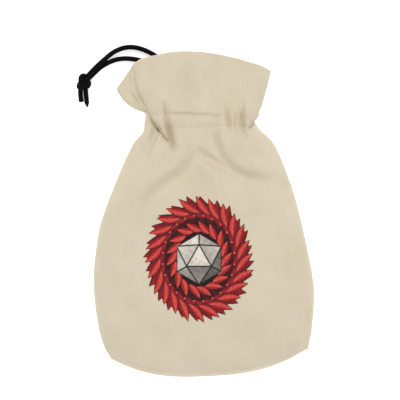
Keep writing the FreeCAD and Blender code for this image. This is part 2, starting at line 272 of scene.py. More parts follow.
def grid_faces(rows, columns, first=0, flip=False, wrap=False):
    """Quads over a grid of points that are numbered row by row."""
    i, j = np.meshgrid(np.arange(rows - 1), np.arange(columns if wrap else columns - 1),
                       indexing="ij")
    nxt = (j + 1) % columns
    a, b = i * columns + j, i * columns + nxt
    c, d = (i + 1) * columns + nxt, (i + 1) * columns + j
    return np.stack([a, d, c, b] if flip else [a, b, c, d], -1).reshape(-1, 4) + first


def grid_rim(rows, columns):
    """(number, next number) along the outer edge of such a grid."""
    rim = (list(range(columns)) + [r * columns + columns - 1 for r in range(1, rows)]
           + [(rows - 1) * columns + k for k in range(columns - 2, -1, -1)]
           + [r * columns for r in range(rows - 2, 0, -1)])
    return list(zip(rim, rim[1:] + rim[:1]))


def smooth_line(points, step):
    """Points at even steps on a smooth line through given points, all columns carried."""
    p = np.asarray(points, float)
    out = []
    for i in range(len(p) - 1):
        a, b = p[max(i - 1, 0)], p[i]
        c, d = p[i + 1], p[min(i + 2, len(p) - 1)]
        n = max(int(np.linalg.norm((c - b)[:2]) / step), 2)
        t = np.linspace(0, 1, n, endpoint=False)[:, None]
        out.append(0.5 * (2 * b + (c - a) * t + (2 * a - 5 * b + 4 * c - d) * t ** 2
                          + (3 * b - a - 3 * c + d) * t ** 3))
    return np.vstack(out + [p[-1:]])


def smoothstep(low, high, at):
    t = np.clip((at - low) / (high - low), 0.0, 1.0)
    return t * t * (3 - 2 * t)


# ---------------------------------------------------------------- drawstring, on part.py's routes

CORD_WIDE = 2.2
LEG_Z = 1.15
OUTER_LEG = [
    (2.6, 46.4, 4.0), (1.1, 50.9, LEG_Z), (-2.7, 60.0, LEG_Z), (-7.2, 66.6, LEG_Z),
    (-13.0, 72.4, LEG_Z), (-20.4, 78.1, LEG_Z), (-28.2, 83.2, LEG_Z), (-36.4, 85.5, LEG_Z),
    (-44.2, 83.6, LEG_Z), (-50.4, 78.1, 2.7), (-55.2, 73.3, 4.2), (-58.2, 69.8, 4.7),
]
INNER_LEG = [
    (-0.9, 46.4, 4.0), (-2.4, 50.9, LEG_Z), (-6.6, 59.0, LEG_Z), (-11.6, 65.5, LEG_Z),
    (-18.2, 71.2, LEG_Z), (-26.2, 76.6, LEG_Z), (-34.8, 79.2, LEG_Z), (-43.3, 79.3, LEG_Z),
    (-51.0, 75.8, LEG_Z), (-55.3, 71.8, LEG_Z), (-58.6, 68.4, 1.7),
]
SHORT_TAIL = [(-61.6, 65.4, 3.4), (-62.0, 62.2, 2.1), (-61.9, 60.0, LEG_Z),
              (-61.6, 57.6, LEG_Z + 0.2)]
LONG_TAIL = [(-59.4, 65.4, 3.4), (-59.3, 62.0, 2.1), (-59.1, 59.4, LEG_Z), (-58.6, 54.9, LEG_Z)]
KNOT = np.array((-60.2, 66.8, 3.75))


def nurbs_line(name, points):
    """Points along a NURBS spline whose control points are a cord's places, in millimetres."""
    curve = bpy.data.curves.new(name, "CURVE")
    curve.dimensions, curve.resolution_u = "3D", 14
    spline = curve.splines.new("NURBS")
    spline.points.add(len(points) - 1)
    for point, place in zip(spline.points, points):
        point.co = (*(c * MM for c in place), 1.0)
    spline.order_u = 3
    spline.use_endpoint_u = True
    made = bpy.data.objects.new(name, curve)
    scene.collection.objects.link(made)
    bpy.context.view_layer.update()
    mesh = bpy.data.meshes.new_from_object(made)
    line = np.array([v.co for v in mesh.vertices], float) / MM
    bpy.data.objects.remove(made)
    bpy.data.meshes.remove(mesh)
    return line


def resample(line, step):
    """The same line with its points at even steps."""
    along = np.concatenate([[0], np.cumsum(np.linalg.norm(np.diff(line, axis=0), axis=1))])
    at = np.linspace(0, along[-1], max(int(along[-1] / step), 4) + 1)
    return np.stack([np.interp(at, along, line[:, k]) for k in range(3)], 1), at


def frames(line):
    """(heading, side, up) at each point, turning as little as they can."""
    heading = np.gradient(line, axis=0)
    heading /= np.linalg.norm(heading, axis=1)[:, None]
    side = np.cross(heading[0], (0, 0, 1.0))
    if np.linalg.norm(side) < 0.1:
        side = np.cross(heading[0], (0, 1.0, 0))
    sides = []
    for h in heading:
        side = side - h * np.dot(side, h)
        side /= np.linalg.norm(side)
        sides.append(side.copy())
    sides = np.array(sides)
    return heading, sides, np.cross(heading, sides)


AROUND = 32                 # points round a cord
LAY = 2.6                   # length in which a strand of the braid repeats


def braid(name, line, radius=CORD_WIDE / 2, taper=None):
    """A round braided cord along a line. Eight strands cross over one another all along it."""
    line, along = resample(line, 0.2)
    heading, side, up = frames(line)
    turn = np.linspace(0, 2 * math.pi, AROUND, endpoint=False)
    t, s = turn[None, :], along[:, None]
    left = np.cos(4 * (t + s * 2 * math.pi / (4 * LAY)))
    right = np.cos(4 * (t - s * 2 * math.pi / (4 * LAY)))
    over = np.sin(4 * t) * np.sin(s * 2 * math.pi / LAY)
    relief = np.where(over > 0, np.abs(left), np.abs(right)) ** 0.6
    wide = radius * (1.02 + 0.11 * relief)
    shape = np.ones(len(along)) if taper is None else taper(along, along[-1])
    wide = wide * shape[:, None]
    points = (line[:, None, :] + side[:, None, :] * (np.cos(t) * wide)[..., None]
              + up[:, None, :] * (np.sin(t) * wide)[..., None])
    n = len(line)
    faces = grid_faces(n, AROUND, wrap=True, flip=True).tolist()
    caps = []
    for row, sign in ((0, -1), (n - 1, 1)):
        centre = line[row] + heading[row] * sign * radius * 0.35 * shape[row]
        caps.append(centre)
        middle = n * AROUND + len(caps) - 1
        for k in range(AROUND):
            a, b = row * AROUND + k, row * AROUND + (k + 1) % AROUND
            faces.append((a, b, middle) if sign < 0 else (b, a, middle))
    made = new_object(name, np.vstack([points.reshape(-1, 3), caps]), faces, CORD)
    return made, line


outer_line = nurbs_line("outer_route", OUTER_LEG)
inner_line = nurbs_line("inner_route", INNER_LEG)
outer_leg, outer_path = braid("drawstring_outer_leg", outer_line)
inner_leg, inner_path = braid("drawstring_inner_leg", inner_line)


def cut_end(along, length):
    """The short end: hot-cut, with a slight lip."""
    return 1.0 + 0.14 * np.exp(-((length - along) / 0.7) ** 2)


def melted_point(along, length):
    """The long end: drawn out while it was melted, with a small blunt tip."""
    return np.clip((length - along) / 2.2, 0.20, 1.0) ** 0.6


short_tail, _ = braid("drawstring_short_tail", nurbs_line("short_route", SHORT_TAIL), taper=cut_end)
long_tail, _ = braid("drawstring_long_tail", nurbs_line("long_route", LONG_TAIL),
                     taper=melted_point)

KNOT_TURN = 68              # degrees


def knot_line(scale, shift):
    """One strand of the overhand knot, drawn tight."""
    t = np.linspace(0, 2 * math.pi, 160)
    flat = np.stack([np.sin(t) + 2 * np.sin(2 * t), np.cos(t) - 2 * np.cos(2 * t),
                     -1.25 * np.sin(3 * t)], 1) * np.array(scale)
    c, s = math.cos(math.radians(KNOT_TURN)), math.sin(math.radians(KNOT_TURN))
    x, y, z = flat.T
    turned = np.stack([c * x - s * y, s * x + c * y, z], 1)
    return turned + KNOT + np.array(shift)


knot_a, _ = braid("stopper_knot_strand_a", knot_line((1.14, 0.90, 1.55), (0.1, 0.2, 0.0)), 1.12)
knot_b, _ = braid("stopper_knot_strand_b",
                  knot_line((0.76, 0.64, 1.15), (-0.2, -0.2, 0.15)), 1.15)

for piece in (knot_a, knot_b, short_tail, long_tail):
    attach(piece, "drawstring")
for piece in (outer_leg, inner_leg):
    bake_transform(piece)
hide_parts("outer_leg")
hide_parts("inner_leg")
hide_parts("stopper_knot")
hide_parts("stopper_knot")
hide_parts("short_tail")
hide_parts("long_tail")


# ---------------------------------------------------------------- bag's shape, on part.py's table

STATIONS = np.array([
    (-46.50, -71.7, -80.6, 52.60, -66.4, 3.2, 5.2, 1.2),     # bottom seam
    (-49.70, -66.2, -75.2, 53.60, -62.2, 3.8, 10.0, 0.3),    # where the bottom rolls up
    (-52.90, -55.0, -62.4, 54.90, -52.5, 4.5, 14.5, 0.0),
    (-55.25, -33.0, -39.0, 55.60, -38.0, 5.0, 18.0, 0.0),    # widest
    (-53.00, -10.0, -12.0, 50.80, -10.0, 5.0, 18.5, 0.0),
    (-44.40, 16.0, 14.0, 44.40, 14.5, 5.2, 17.8, 0.0),
    (-35.30, 35.8, 33.0, 34.80, 36.8, 6.2, 16.4, 0.2),       # shoulder
    (-29.90, 43.0, 44.0, 27.60, 44.6, 7.3, 15.6, 0.9),       # lower edge of the tunnel
    (-29.00, 50.5, 50.6, 27.80, 50.5, 7.5, 15.6, 2.8),       # upper edge of the tunnel
    (-34.40, 53.2, 56.6, 29.30, 55.0, 7.3, 15.2, 2.9),
    (-39.80, 57.2, 68.0, 31.60, 62.8, 6.8, 13.9, 2.9),       # header, over the drawstring
    (-43.60, 62.7, 80.6, 33.90, 71.9, 6.4, 12.8, 2.9),       # rim
])
TUNNEL_LOW, TUNNEL_TOP, RIM = 7.0, 8.0, 11.0
# how far the rim rises above its even curve: place across from -1 to 1, then the rise
RIM_RISE = [(-1.0, 0.0), (-0.93, 1.1), (-0.87, 2.6), (-0.80, 4.6), (-0.76, 5.5), (-0.68, 5.6),
            (-0.46, 3.4), (-0.24, 1.9), (-0.05, 0.4), (0.2, -1.0), (0.42, -1.8), (0.68, -1.8),
            (1.0, 0.0)]
THICK = 0.8
EDGE_GAP = 0.14             # from a side seam's height to a panel's edge
SEAM_ROOM = 1.9             # further in, left clear for the seam allowance
PINCH = 0.20                # how far the stitches draw the very edge in
TUNNEL_BULGE = 0.30
NOTCH, NOTCH_ROW = 2.0, 7.34  # the right side is pulled in most just over the shoulder
BOTTOM_ROLL = 0.5           # rows over which the panels come down to the bottom seam


def crease_top(x):
    """Where the upper stitches lie, as a share of the way across the tunnel: not quite straight."""
    return 0.87 - 0.0075 * np.clip(x + 4, -14, 14) + 0.03 * np.sin(0.62 * x + 0.6)


def station(v):
    """The table's columns at rows v, eased between stations without overshoot."""
    v = np.asarray(v, float)
    i = np.clip(v.astype(int), 0, len(STATIONS) - 2)
    t = v - i
    step = np.diff(STATIONS, axis=0)
    slope = np.empty_like(STATIONS)
    slope[0], slope[-1] = step[0], step[-1]
    before, after = step[:-1], step[1:]
    with np.errstate(divide="ignore", invalid="ignore"):
        mean = 2 * before * after / (before + after)
    slope[1:-1] = np.where(before * after <= 0, 0.0, mean)
    t = t[..., None]
    row = (STATIONS[i] * (1 + 2 * t) * (1 - t) ** 2 + slope[i] * t * (1 - t) ** 2
           + STATIONS[i + 1] * t * t * (3 - 2 * t) - slope[i + 1] * t * t * (1 - t))
    row[..., 3] -= NOTCH * np.exp(-((v - NOTCH_ROW) / 0.30) ** 2)
    return row


def bow_power(v):
    """How a row's bow grows with the place across it. The bottom is squarer than the rest."""
    return 2 + 0.7 * (1 - smoothstep(0, 3, v))


def base_shape(front, angle, v):
    """(x, y, z) of the smooth bag, before its folds. angle and v are grids."""
    lx, ly, my, rx, ry, seam, top, base = np.moveaxis(station(v), -1, 0)
    u = np.sin(np.radians(angle))
    crown = np.sin(math.pi / 2 * np.cos(np.radians(angle)))
    start = seam + (EDGE_GAP if front else -EDGE_GAP)
    rolled = np.sin(math.pi / 2 * np.clip(v / BOTTOM_ROLL, 0, 1)) ** 0.6
    z = start + ((top if front else base) - start) * crown * rolled
    pinch = PINCH * smoothstep(80, 90, np.abs(angle)) * np.sign(u)
    x = (lx + rx) / 2 + u * (rx - lx) / 2 - pinch
    y = my + u * (ry - ly) / 2 + np.abs(u) ** bow_power(v) * ((ly + ry) / 2 - my)
    y = y + np.interp(u, *zip(*RIM_RISE)) * smoothstep(8.3, RIM, v)
    return x, y, z


# Folds of the front: half widths on the two sides of the line, then x, y and height along it
FRONT_FOLDS = [
    # left neck fold
    (0.8, 0.9, [(-30.2, 54.4, -1.6), (-28.4, 51.5, -3.0), (-25.9, 47.4, -4.2),
        (-23.0, 43.3, -4.8), (-21.9, 41.2, -3.4)]),
    # its right branch
    (0.8, 1.1, [(-22.8, 42.9, -2.6), (-20.2, 39.6, -2.8), (-17.3, 37.0, -2.8),
        (-15.6, 34.8, -0.6)]),
    # its left branch
    (1.2, 1.8, [(-23.0, 42.9, -3.4), (-25.0, 39.2, -3.0), (-26.8, 35.4, -2.2),
        (-28.5, 30.4, -1.5), (-30.0, 25.4, -0.2)]),
    # upright fold
    (1.3, 0.7, [(-20.0, 58.4, -0.2), (-19.5, 54.6, -1.8), (-18.8, 48.4, -3.0),
        (-17.7, 43.0, -4.2), (-16.4, 38.0, -4.4), (-15.7, 34.6, -3.4), (-15.4, 32.0, -0.2)]),
    # left ridge
    (3.4, 3.2, [(-14.8, 52.9, 0.3), (-13.4, 45.9, 1.4), (-11.2, 38.4, 2.2), (-10.4, 31.8, 2.6),
        (-14.2, 25.6, 2.6), (-21.0, 20.7, 2.6), (-28.8, 14.6, 2.2), (-35.6, 7.0, 1.5),
        (-41.6, -1.2, 0.2)]),
    # valley beside it
    (3.0, 3.6, [(-5.8, 32.9, -0.3), (-4.6, 25.6, -1.4), (-9.6, 20.6, -1.9), (-18.2, 15.4, -1.8),
        (-25.2, 9.9, -1.4), (-30.2, 1.9, -0.8), (-33.4, -5.6, -0.1)]),
    # middle hollow
    (1.9, 2.1, [(-8.2, 40.4, -0.2), (-5.6, 35.0, -1.3), (-1.6, 30.8, -2.4), (4.4, 27.6, -2.5),
        (9.6, 24.4, -1.6), (14.6, 20.4, -0.2)]),
    # middle ridge
    (2.2, 3.0, [(-6.8, 28.2, 0.1), (-2.2, 26.4, 1.3), (3.2, 23.4, 1.6), (8.4, 20.2, 1.2),
        (14.2, 16.0, 0.1)]),
    # right ridge
    (3.2, 3.0, [(10.6, 51.4, 0.2), (9.9, 43.9, 1.5), (10.2, 36.4, 2.4), (12.8, 29.8, 2.7),
        (17.8, 25.7, 2.7), (25.2, 23.5, 2.4), (33.2, 23.0, 1.6), (39.8, 24.2, 0.2)]),
    # valley beside the right ridge
    (2.2, 2.4, [(3.6, 42.9, -0.4), (5.2, 36.9, -1.8), (8.6, 30.6, -2.0), (13.4, 24.0, -1.7),
        (20.4, 19.6, -1.6), (28.4, 17.9, -1.0), (36.8, 17.8, -0.1)]),
    # right pleat 1
    (0.7, 0.9, [(11.6, 55.4, -0.2), (12.0, 49.9, -1.9), (12.8, 45.9, -1.9), (13.7, 40.9, -0.1)]),
    # right pleat 2
    (0.8, 1.0, [(21.2, 60.9, -0.2), (20.2, 53.9, -1.6), (19.4, 48.4, -3.0), (20.2, 43.4, -2.6),
        (22.2, 37.4, -0.1)]),
    # right pleat 3
    (0.9, 1.1, [(26.8, 47.6, -2.4), (24.6, 45.4, -3.2), (22.8, 43.4, -2.2), (21.8, 40.4, -0.1)]),
    # right pleat 4
    (0.8, 0.8, [(15.2, 52.9, -0.1), (16.0, 48.9, -0.9), (16.5, 44.9, -0.8), (17.8, 39.4, -0.1)]),
    # header fold 1
    (2.2, 2.2, [(6.8, 75.9, -0.1), (6.8, 67.9, -0.6), (7.2, 58.9, -0.9), (8.2, 51.9, -0.5)]),
    # header fold 2
    (2.6, 2.6, [(-7.8, 73.9, -0.1), (-6.8, 62.9, -0.6), (-8.8, 53.9, -0.3)]),
    # header fold 3
    (2.4, 2.4, [(23.8, 71.9, -0.1), (23.2, 63.9, -0.7), (22.2, 55.9, -0.6)]),
    # wing crease
    (0.9, 0.9, [(-35.9, 74.6, -0.2), (-35.3, 71.4, -1.5), (-34.8, 66.9, -2.7),
        (-33.5, 62.4, -2.9), (-31.5, 58.1, -2.9), (-29.2, 54.4, -2.4), (-28.0, 51.4, -1.0)]),
    # wing dimple
    (0.9, 1.1, [(-37.8, 62.4, -0.2), (-35.2, 59.9, -1.0), (-32.8, 56.9, -0.2)]),
    # left shoulder crease
    (0.8, 1.1, [(-31.2, 38.9, -0.3), (-31.0, 34.4, -1.1), (-30.8, 27.4, -0.1)]),
    # left shoulder ridge
    (1.5, 1.5, [(-27.2, 46.9, 0.2), (-27.8, 41.9, 0.9), (-28.8, 36.4, 0.6), (-30.2, 31.9, 0.1)]),
    # ridge between the neck folds
    (1.4, 1.4, [(-22.5, 51.9, 0.3), (-21.0, 45.9, 0.9), (-18.2, 40.9, 0.8), (-16.8, 37.4, 0.1)]),
    # pleat ridge 1
    (1.3, 1.3, [(15.8, 55.9, 0.2), (15.8, 50.9, 0.9), (15.0, 45.9, 0.7), (15.2, 39.9, 0.1)]),
    # pleat ridge 2
    (1.5, 1.5, [(23.0, 57.9, 0.2), (22.5, 51.4, 1.0), (22.0, 46.9, 0.9)]),
    # right shoulder ridge
    (2.2, 2.6, [(23.2, 41.9, 0.2), (26.2, 36.4, 0.8), (31.2, 31.4, 0.5), (35.2, 27.9, 0.1)]),
    # low belly crease
    (2.6, 2.6, [(-11.8, -73.1, -0.1), (-1.8, -74.6, -0.5), (10.8, -73.1, -0.1)]),
    # left belly hollow
    (4.0, 4.5, [(-50.2, 0.9, -0.1), (-45.2, -10.1, -0.6), (-37.8, -23.1, -0.6),
        (-32.2, -32.1, -0.1)]),
]


# the fold lines are given as they look from above, where the raised front seems a little wider
SEEN_X, SEEN_Y, SEEN_WIDER = -1.75, 7.9, 1.018
SHARP = 1.35                # folds narrower than this are creases with a keen edge
KEEN = 0.22


def fold_height(folds, x, y):
    """The height that a set of folds adds at points x, y. Where folds meet, the deeper one wins."""
    ridges, valleys = np.zeros_like(x), np.zeros_like(x)
    for wide_left, wide_right, points in folds:
        ax, ay, ah = smooth_line(points, 0.8).T
        tx, ty = np.gradient(ax), np.gradient(ay)
        size = np.hypot(tx, ty) + 1e-9
        tx, ty = tx / size, ty / size
        reach = 4.0 * max(wide_left, wide_right)
        near = ((x > ax.min() - reach) & (x < ax.max() + reach)
                & (y > ay.min() - reach) & (y < ay.max() + reach))
        px, py = x[near], y[near]
        best = np.full(px.shape, 1e9)
        height, cross = np.zeros_like(px), np.zeros_like(px)
        for k in range(len(ax) - 1):
            bx, by = ax[k + 1] - ax[k], ay[k + 1] - ay[k]
            share = ((px - ax[k]) * bx + (py - ay[k]) * by) / (bx * bx + by * by + 1e-9)
            share = np.clip(share, 0, 1)
            dx, dy = px - ax[k] - share * bx, py - ay[k] - share * by
            d = dx * dx + dy * dy
            closer = d < best
            best[closer] = d[closer]
            height[closer] = (ah[k] + share * (ah[k + 1] - ah[k]))[closer]
            cross[closer] = (tx[k] * dy - ty[k] * dx)[closer]
        wide = wide_left + (wide_right - wide_left) * smoothstep(0.3, -0.3, cross)
        if max(wide_left, wide_right) < SHARP:
            shape_across = np.exp(-(np.sqrt(best + KEEN ** 2) - KEEN) / (0.95 * wide))
        else:
            shape_across = np.exp(-best / (2 * wide ** 2))
        lift = height * shape_across
        ridges[near] += np.maximum(lift, 0) ** 3
        valleys[near] += np.maximum(-lift, 0) ** 3
    return np.cbrt(ridges) - np.cbrt(valleys)


def back_folds():
    """Gathers of the back: lines that fan out from the neck, up the header and down the belly."""
    made = []
    for i in range(9):
        x = -22.0 + 5.4 * i + rng.uniform(-0.9, 0.9)
        deep = rng.uniform(1.2, 2.2)
        low = rng.uniform(8, 24)
        made.append((rng.uniform(0.9, 1.5), rng.uniform(0.9, 1.5), [
            (x * 1.30, 74.0, 0.15), (x * 1.12, 62.0, 0.7 * deep), (x, 50.5, deep),
            (x * 1.02, 43.0, deep), (x * 1.16, 34.0, 0.8 * deep),
            (x * 1.36 + rng.uniform(-2, 2), low + 8, 0.4 * deep),
            (x * 1.5 + rng.uniform(-2, 2), low, 0.05)]))
    return made


BACK_FOLDS = back_folds()


def ripple(x, y, scale, seed, octaves=3):
    """Smooth random height, about -1 to 1, from a few turned waves."""
    draw = np.random.default_rng(seed)
    total = np.zeros_like(x)
    for k in range(octaves * 6):
        turn = draw.uniform(0, math.pi)
        size = scale * draw.uniform(0.6, 1.6)
        along = x * math.cos(turn) + y * math.sin(turn)
        total += np.sin(along * 2 * math.pi / size + draw.uniform(0, 6.3))
    return total / (octaves * 6) ** 0.5 / 1.4


def shape(front, angle, v):
    """(x, y, z) of the bag with its folds, puckers and small unevenness."""
    x, y, z = base_shape(front, angle, v)
    edge = smoothstep(0.0, 9.0, 90 - np.abs(angle))
    if front:
        lift = fold_height(FRONT_FOLDS, SEEN_X + (x - SEEN_X) * SEEN_WIDER,
                           SEEN_Y + (y - SEEN_Y) * SEEN_WIDER)
        # the wing of the header lies lower than the rest
        wing_x = np.interp(y, (50, 55, 60, 66, 72, 78), (-28.3, -30.0, -33.0, -34.6, -35.4, -35.7))
        lift -= 2.0 * smoothstep(0.0, 2.4, wing_x - x) * smoothstep(51, 56, y)
    else:
        lift = fold_height(BACK_FOLDS, x, y)
    # tunnel: a bulge over the drawstring between its two rows of stitches
    across = (v - TUNNEL_LOW) / (TUNNEL_TOP - TUNNEL_LOW)
    sign = 1 if front else -1
    middle = np.exp(-((x + 4.2) / 13.5) ** 6) if front else np.exp(-(x / 24.0) ** 4)
    lift += sign * TUNNEL_BULGE * np.exp(-((across - 0.5) / 0.36) ** 2)
    for at, deep, least in ((crease_top(x), 1.15, 0.18), (0.0, 0.30, 0.6)):
        lift -= sign * deep * np.exp(-((across - at) / 0.14) ** 2) * (least + (1 - least) * middle)
        near = np.exp(-((across - at) / 0.8) ** 2)
        lift += sign * 0.10 * near * np.sin(x * 2 * math.pi / 3.4 + 2.2 * np.sin(x * 0.5 + at * 2))
    lift += 0.16 * ripple(x, y, 26.0, 3) + 0.05 * ripple(x, y, 8.0, 5)
    # a slight pull along the side seams
    near_edge = smoothstep(60, 84, np.abs(angle))
    lift += sign * 0.22 * near_edge * np.sin(y * 2 * math.pi / 7.5 + 2.0 * np.sin(y * 0.23) + sign)
    z = z + lift * edge
    seam = station(v)[..., 5]
    room = EDGE_GAP + SEAM_ROOM * smoothstep(0, 14, 90 - np.abs(angle)) * smoothstep(0.0, 0.7, v)
    z = np.maximum(z, seam + room) if front else np.minimum(z, seam - room)
    if not front:
        z = np.maximum(z, 0.02 * (1 + np.sin(x + y)))
    return x, y, z


def even_angles(count):
    """Angles across a panel whose places are evenly far apart along a row of the belly."""
    fine = np.linspace(-90, 90, 4001)
    x, y, z = base_shape(True, fine, np.full(fine.shape, 4.0))
    along = np.concatenate([[0], np.cumsum(np.hypot(np.diff(x), np.diff(z)))])
    angles = np.interp(np.linspace(0, along[-1], count), along, fine)
    angles[count // 2] = 0.0
    return angles


def even_rows(count):
    fine = np.linspace(0, RIM, 4001)
    row = station(fine)
    along = np.concatenate([[0], np.cumsum(np.hypot(np.diff(row[:, 2]), np.diff(row[:, 6])))])
    return np.interp(np.linspace(0, along[-1], count), along, fine)


COLUMNS, ROWS = 241, 361
ANGLES, VROWS = even_angles(COLUMNS), even_rows(ROWS)


def grid_normals(points, front):
    """Unit normals of a grid of points, pointing out of the bag."""
    du, dv = np.gradient(points, axis=1), np.gradient(points, axis=0)
    n = np.cross(du, dv) * (1 if front else -1)
    return n / (np.linalg.norm(n, axis=2)[..., None] + 1e-12)


CUT_HALF, CUT_LONG = 57.0, 170.0        # a panel laid flat
BACK_APART, SEAM_APART = 40.0, 80.0     # so that each cloth has its own piece of the weave


def cloth_coordinates(front, v_grid, a_grid):
    """Where each point lies in the flat cut, in millimetres. The weave is drawn on that."""
    flat_x = CUT_HALF * np.interp(a_grid, ANGLES, np.linspace(-1, 1, len(ANGLES)))
    flat_y = CUT_LONG * np.interp(v_grid, VROWS, np.linspace(0, 1, len(VROWS)))
    return np.stack([flat_x, flat_y, np.full_like(flat_x, 0.0 if front else BACK_APART)], -1)


PANELS = {}
a_grid, v_grid = np.meshgrid(ANGLES, VROWS)
for front in (True, False):
    outer = np.stack(shape(front, a_grid, v_grid), -1)
    PANELS[front] = dict(outer=outer, normal=grid_normals(outer, front),
                         cloth=cloth_coordinates(front, v_grid, a_grid), v=v_grid, angle=a_grid)


def bend(piece, left):
    """Bakes the piece's place into its mesh, the same for either side."""
    if left:
        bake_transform(piece)
    else:
        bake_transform(piece)


def side_of(left):
    return "left" if left else "right"


def half_sheet(name, front, left, outer, inner, normal, inner_normal, cloth, material, drop=None):
    """One half of a doubled sheet, closed round its edges."""
    middle = outer.shape[1] // 2
    cut = slice(0, middle + 1) if left else slice(middle, None)
    o, i, n, m, c = (grid[:, cut] for grid in (outer, inner, normal, inner_normal, cloth))
    rows, columns = o.shape[:2]
    count = rows * columns
    top = grid_faces(rows, columns, flip=not front)
    low = grid_faces(rows, columns, first=count, flip=front)
    if drop is not None:
        keep = ~drop(o.reshape(-1, 3)[top].mean(axis=1))
        top, low = top[keep], low[keep]
    border = [(b, a, a + count, b + count) if front else (a, b, b + count, a + count)
              for a, b in grid_rim(rows, columns)]
    points = np.vstack([o.reshape(-1, 3), i.reshape(-1, 3)])
    normals = np.vstack([n.reshape(-1, 3), m.reshape(-1, 3)])
    faces = [tuple(f) for f in np.vstack([top, low])] + border
    return new_object(name, points, faces, material,
                      cloth=np.vstack([c.reshape(-1, 3)] * 2), normals=normals)


SLIT_X, SLIT_Y, SLIT_HALF_X, SLIT_HALF_Y = 0.1, 48.7, 4.1, 2.4


def slit_distance(x, y):
    """How far points lie from the middle line of the slit, which is an oval with straight sides."""
    return np.hypot(np.maximum(np.abs(x - SLIT_X) - (SLIT_HALF_X - SLIT_HALF_Y), 0), y - SLIT_Y)


def in_slit(centres):
    return slit_distance(centres[:, 0], centres[:, 1]) < SLIT_HALF_Y * 0.80


FACING_THICK = 0.5
HEADER_DEPTH = 1.2          # from a panel's outer face to its facing
TUNNEL_DEPTH = 2.85         # how much deeper the facing lies in the middle of the tunnel
ROLL_ROWS = 6


def facing_depth(v):
    """How far under the panel's outer face the facing lies."""
    tunnel = np.sin(math.pi * np.clip(v - TUNNEL_LOW, 0, 1)) ** 1.5
    return HEADER_DEPTH + TUNNEL_DEPTH * tunnel


def roll_depth(angle):
    """How deep the turned-over rim is, from the panel's face to the facing's."""
    full, least = HEADER_DEPTH + FACING_THICK, THICK + 0.15
    return least + (full - least) * smoothstep(76, 60, np.abs(angle))


def with_roll(data):
    """The panel's grids with the rim turned over towards the inside."""
    outer, normal, cloth = data["outer"], data["normal"], data["cloth"]
    inner = outer - normal * THICK
    along = outer[-1] - outer[-2]
    along /= np.linalg.norm(along, axis=1)[:, None]
    deep = roll_depth(data["angle"][-1])[:, None]
    rows_o, rows_n, rows_i, rows_m = [], [], [], []
    for k in range(1, ROLL_ROWS + 1):
        turn = math.pi * k / ROLL_ROWS
        rows_n.append(normal[-1] * math.cos(turn) + along * math.sin(turn))
        rows_o.append(outer[-1] - normal[-1] * deep / 2 + rows_n[-1] * deep / 2)
        rows_i.append(inner[-1] - normal[-1] * (deep - THICK) * 0.96 * k / ROLL_ROWS)
        rows_m.append(-along)
    flat = np.repeat(cloth[-1:], ROLL_ROWS, 0)
    return (np.concatenate([outer, rows_o]), np.concatenate([inner, rows_i]),
            np.concatenate([normal, rows_n]), np.concatenate([-normal, rows_m]),
            np.concatenate([cloth, flat]))


BACK_LEAST = 0.35           # thickness that the back keeps where it is pressed on the floor
FACING_LOW, FACING_TOP, FACING_REACH = 6.6, 10.999, 62
for front in (True, False):
    word = "front" if front else "back"
    outer, inner, normal, inner_normal, cloth = with_roll(PANELS[front])
    if not front:
        inner[..., 2] = np.maximum(inner[..., 2], BACK_LEAST)
    for left in (True, False):
        half = half_sheet(f"{word}_panel_{side_of(left)}", front, left, outer, inner, normal,
                          inner_normal, cloth, COTTON, None if front else in_slit)
        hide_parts(f"{word}_panel")
        bend(half, left)

    rows = VROWS[(VROWS > FACING_LOW) & (VROWS <= FACING_TOP)]
    angles = ANGLES[np.abs(ANGLES) < FACING_REACH]
    inside = np.isin(VROWS, rows)
    columns = np.isin(ANGLES, angles)
    data = {key: PANELS[front][key][inside][:, columns] for key in PANELS[front]}
    deep = facing_depth(data["v"])[..., None]
    face = data["outer"] - data["normal"] * deep
    back = data["outer"] - data["normal"] * (deep + FACING_THICK)
    for left in (True, False):
        half = half_sheet(f"{word}_facing_{side_of(left)}", front, left, face, back, data["normal"],
                          -data["normal"], data["cloth"], SHADED_COTTON)
        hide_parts(f"{word}_facing")
        bend(half, left)


# ---------------------------------------------------------------- threads, seams and tunnel cord

def surface_place(front, x, v):
    """(point, normal) on a panel's outer face, at a row and as near as can be to that x."""
    grid, normal = PANELS[front]["outer"], PANELS[front]["normal"]
    row = int(np.argmin(np.abs(VROWS - v)))
    along = grid[row, :, 0]
    at = np.interp(x, along, np.arange(len(along)))
    low = int(np.clip(at, 0, len(along) - 2))
    share = at - low
    n = normal[row, low] * (1 - share) + normal[row, low + 1] * share
    return grid[row, low] * (1 - share) + grid[row, low + 1] * share, n / np.linalg.norm(n)


def thread_run(points, radius, around=7):
    """(points, faces) of one short round thread that thins to its two ends."""
    points = np.asarray(points, float)
    heading, side, up = frames(points)
    wide = radius * np.sin(np.linspace(0.12, math.pi - 0.12, len(points))) ** 0.35
    turn = np.linspace(0, 2 * math.pi, around, endpoint=False)
    ring = (side[:, None] * np.cos(turn)[None, :, None] + up[:, None] * np.sin(turn)[None, :, None])
    shell = points[:, None] + ring * wide[:, None, None]
    faces = [tuple(f) for f in grid_faces(len(points), around, wrap=True, flip=True)]
    faces.append(tuple(range(around)))
    faces.append(tuple(range(len(points) * around - 1, (len(points) - 1) * around - 1, -1)))
    return shell.reshape(-1, 3), faces


def threads_object(name, runs):
    """One object of many short threads."""
    points, faces, total = [], [], 0
    for run, run_faces in runs:
        points.append(run)
        faces += [tuple(k + total for k in f) for f in run_faces]
        total += len(run)
    return new_object(name, np.vstack(points), faces, THREAD)


THREAD_RADIUS = 0.15
STITCH, PITCH = 2.1, 2.9


